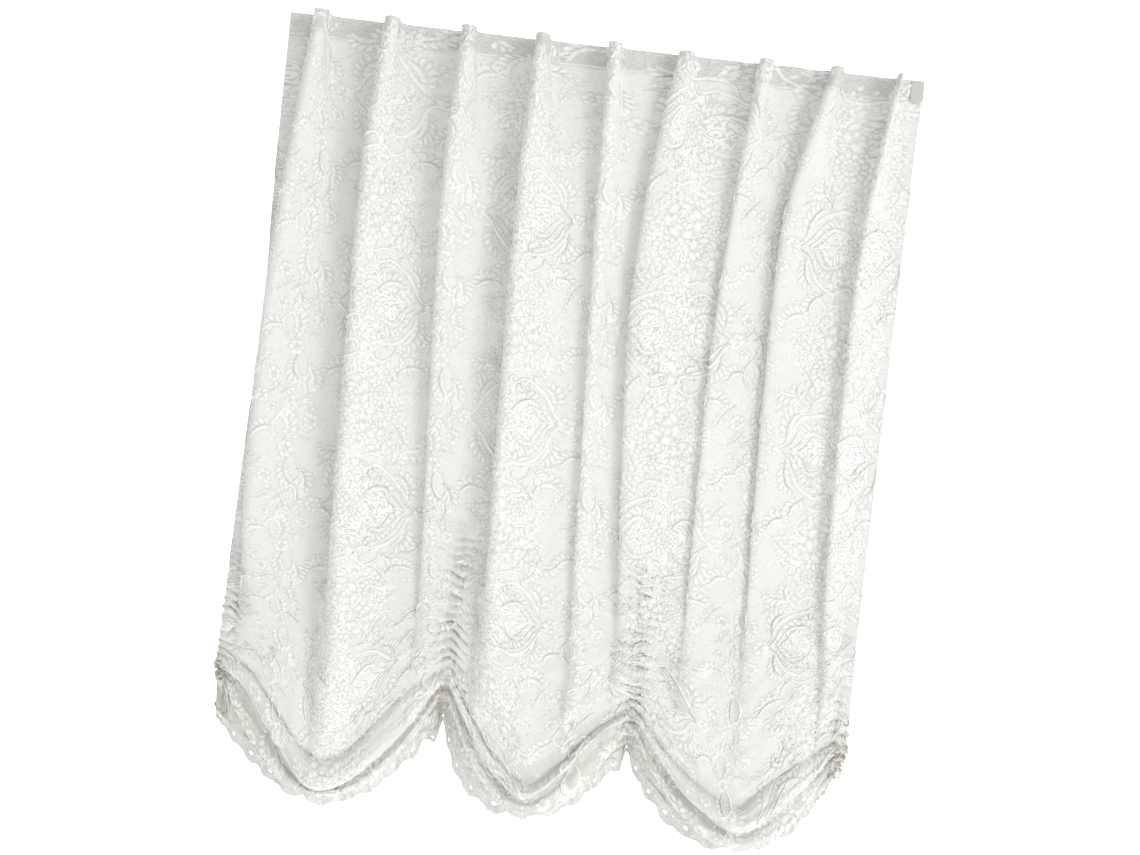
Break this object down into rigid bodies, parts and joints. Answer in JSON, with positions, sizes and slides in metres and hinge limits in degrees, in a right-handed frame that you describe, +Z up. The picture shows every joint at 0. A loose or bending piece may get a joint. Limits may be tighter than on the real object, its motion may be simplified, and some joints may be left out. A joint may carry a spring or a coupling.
{
  "type": "lace window curtain",
  "caption": "White figured lace window curtain, hung in narrow folds from a taped top edge and drawn up on upright tapes into swags with a scalloped lace edging.",
  "frame": {"origin": "middle of the top edge, in the plane in which the cloth hangs, where the curtain is held", "axes": "+X to the right seen from the front, -Y to the front, +Z up along the drop"},
  "size_m": [1.2764, 0.1049, 1.5777],
  "materials": {
    "figured_lace": "semi-sheer white lace, matt ground with denser figures",
    "plain_tape": "plain woven off-white tape, matt",
    "draw_tape": "narrow woven off-white tape, matt",
    "edging_lace": "open white lace, matt"
  },
  "bodies": {
    "root": {"curtain_panel": "figured_lace", "heading_tape": "plain_tape", "draw_tape_1": "draw_tape", "draw_tape_2": "draw_tape", "draw_tape_3": "draw_tape", "draw_tape_4": "draw_tape", "lace_edging": "edging_lace"}
  },
  "joints": []
}
